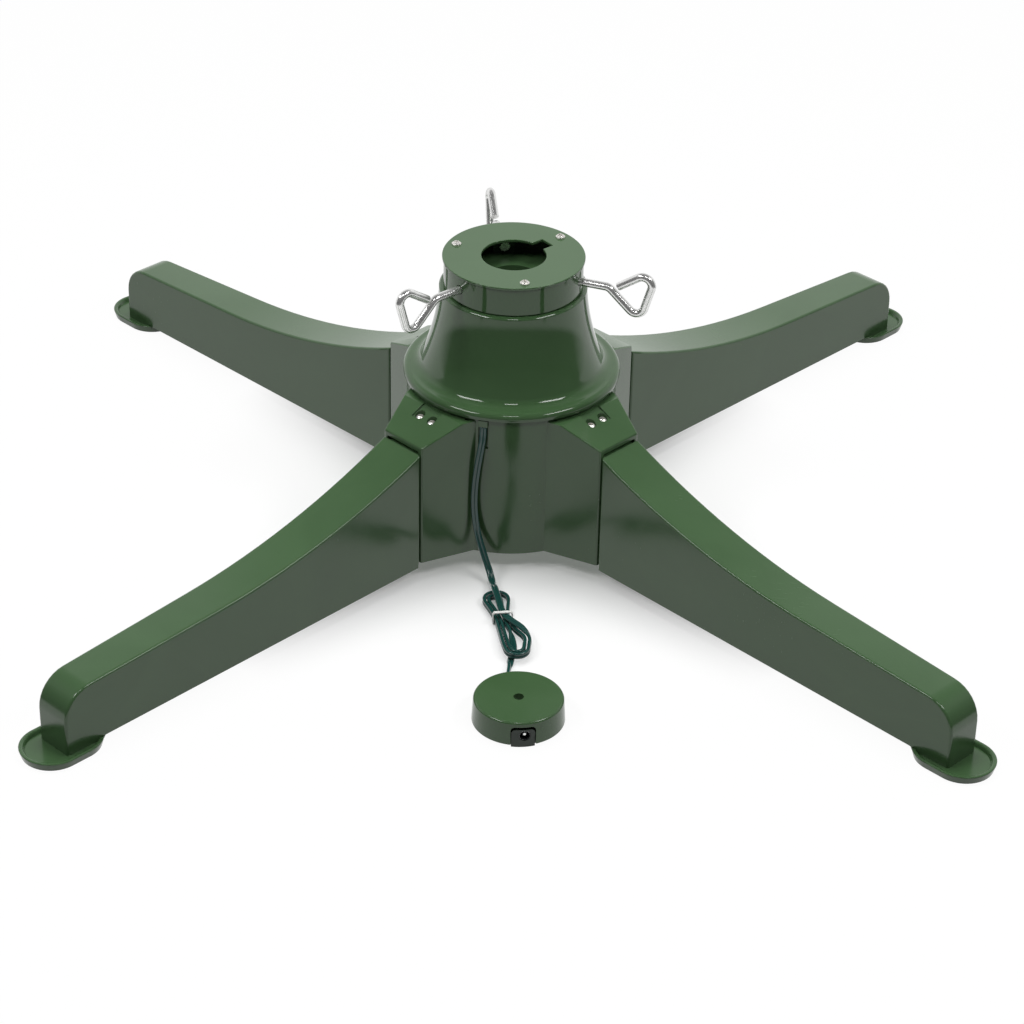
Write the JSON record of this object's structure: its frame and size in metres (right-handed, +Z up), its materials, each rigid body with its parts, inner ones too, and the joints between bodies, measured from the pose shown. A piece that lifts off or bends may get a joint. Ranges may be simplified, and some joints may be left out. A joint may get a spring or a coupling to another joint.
{
  "type": "rotating christmas tree stand",
  "caption": "Four-legged stand with a motor hub, a bell cover and a turning pole collar with thumb screws, and a foot switch on a flat cord.",
  "frame": {"origin": "on the turning axis, at the height of the floor that the foot pads stand on", "axes": "+Z up along the turning axis and the pole socket, -Y from the axis towards the foot switch, +X to the right when seen from the foot switch's side, legs on the four diagonals"},
  "size_m": [0.6132, 0.6132, 0.2095],
  "materials": {
    "green_plastic": "glossy moulded plastic, dark green",
    "dark_plastic": "satin moulded plastic, near black",
    "ivory_plastic": "self-lubricating plastic, ivory",
    "jack_plastic": "black plastic with a steel contact",
    "zinc_steel": "zinc-plated steel",
    "bright_steel": "bright-plated steel rod",
    "motor_steel": "drawn steel case",
    "race_steel": "ground steel",
    "brass_cage": "pressed brass",
    "circuit_board": "fibreglass board with green resist",
    "cord_sheath": "flexible flat twin sheath, dark teal green",
    "lead_sheath": "flexible single leads, red",
    "tie_plastic": "white plastic-coated tie"
  },
  "bodies": {
    "base": {"hub_housing": "green_plastic", "bottom_cover": "green_plastic", "cover_screws": "zinc_steel", "leg_front_left": "green_plastic", "leg_front_right": "green_plastic", "leg_back_left": "green_plastic", "leg_back_right": "green_plastic", "foot_pad_front_left": "green_plastic", "foot_pad_front_right": "green_plastic", "foot_pad_back_left": "green_plastic", "foot_pad_back_right": "green_plastic", "pad_screws": "zinc_steel", "leg_screws": "zinc_steel", "bell_cover": "green_plastic", "bell_screws": "zinc_steel", "gear_deck": "dark_plastic", "deck_screws": "zinc_steel", "lower_bush": "ivory_plastic", "retaining_ring": "zinc_steel", "gearbox": "motor_steel", "motor_can": "motor_steel", "motor_screws": "zinc_steel", "control_board": "circuit_board", "board_parts": "dark_plastic", "strain_relief": "dark_plastic", "inner_cord": "cord_sheath", "motor_leads": "lead_sheath", "bearing_lower_race": "race_steel", "cord_drop": "cord_sheath", "cord_hank": "cord_sheath", "hank_tie": "tie_plastic", "cord_tail": "cord_sheath", "switch_gland": "cord_sheath", "switch_base": "dark_plastic", "pedal_spring": "zinc_steel", "pedal_screw": "zinc_steel", "jack_panel": "dark_plastic", "power_jack": "jack_plastic", "switch_board": "circuit_board", "push_switch": "jack_plastic"},
    "turntable": {"collar": "green_plastic", "top_plate": "green_plastic", "plate_screws": "zinc_steel", "clamp_nuts": "zinc_steel", "pole_socket": "green_plastic", "socket_screws": "zinc_steel", "ring_gear": "ivory_plastic", "bearing_upper_race": "race_steel"},
    "ball_cage": {"bearing_cage": "brass_cage", "bearing_balls": "race_steel"},
    "pinion_shaft": {"pinion": "ivory_plastic", "output_shaft": "motor_steel"},
    "tip_right": {"screw_tip_right": "bright_steel"},
    "screw_right": {"thumb_screw_right": "bright_steel"},
    "tip_back": {"screw_tip_back": "bright_steel"},
    "screw_back": {"thumb_screw_back": "bright_steel"},
    "tip_left": {"screw_tip_left": "bright_steel"},
    "screw_left": {"thumb_screw_left": "bright_steel"},
    "pedal": {"pedal_cap": "green_plastic", "switch_plunger": "ivory_plastic"}
  },
  "joints": [
    {"name": "turntable_spin", "type": "hinge", "parent": "base", "child": "turntable", "pos_m": [0, 0, 0], "axis": [0, 0, 1], "continuous": true},
    {"name": "cage_spin", "type": "hinge", "parent": "base", "child": "ball_cage", "pos_m": [0, 0, 0], "axis": [0, 0, 1], "continuous": true},
    {"name": "pinion_spin", "type": "hinge", "parent": "base", "child": "pinion_shaft", "pos_m": [-0.03294, 0.03294, 0], "axis": [0, 0, 1], "continuous": true},
    {"name": "tip_right_slide", "type": "slide", "parent": "turntable", "child": "tip_right", "axis": [-0.9397, 0.342, 0], "range_m": [-0.0004, 0.0163]},
    {"name": "screw_right_turn", "type": "hinge", "parent": "tip_right", "child": "screw_right", "pos_m": [0, 0, 0.1948], "axis": [-0.9397, 0.342, 0], "range_deg": [-144, 5868]},
    {"name": "tip_back_slide", "type": "slide", "parent": "turntable", "child": "tip_back", "axis": [0.1736, -0.9848, 0], "range_m": [-0.0004, 0.0163]},
    {"name": "screw_back_turn", "type": "hinge", "parent": "tip_back", "child": "screw_back", "pos_m": [0, 0, 0.1948], "axis": [0.1736, -0.9848, 0], "range_deg": [-144, 5868]},
    {"name": "tip_left_slide", "type": "slide", "parent": "turntable", "child": "tip_left", "axis": [0.766, 0.6428, 0], "range_m": [-0.0004, 0.0163]},
    {"name": "screw_left_turn", "type": "hinge", "parent": "tip_left", "child": "screw_left", "pos_m": [0, 0, 0.1948], "axis": [0.766, 0.6428, 0], "range_deg": [-144, 5868]},
    {"name": "pedal_press", "type": "slide", "parent": "base", "child": "pedal", "axis": [0, 0, 1], "range_m": [-0.0016, 0], "stiffness_N_per_m": 900, "springref_m": 0.003, "deforming": ["pedal_spring"]}
  ],
  "couplings": [
    {"joint": "cage_spin", "follows": "turntable_spin", "ratio": 0.5},
    {"joint": "pinion_spin", "follows": "turntable_spin", "ratio": -3.4286},
    {"joint": "tip_right_slide", "follows": "screw_right_turn", "m_per_rad": 0.00015915},
    {"joint": "tip_back_slide", "follows": "screw_back_turn", "m_per_rad": 0.00015915},
    {"joint": "tip_left_slide", "follows": "screw_left_turn", "m_per_rad": 0.00015915}
  ]
}
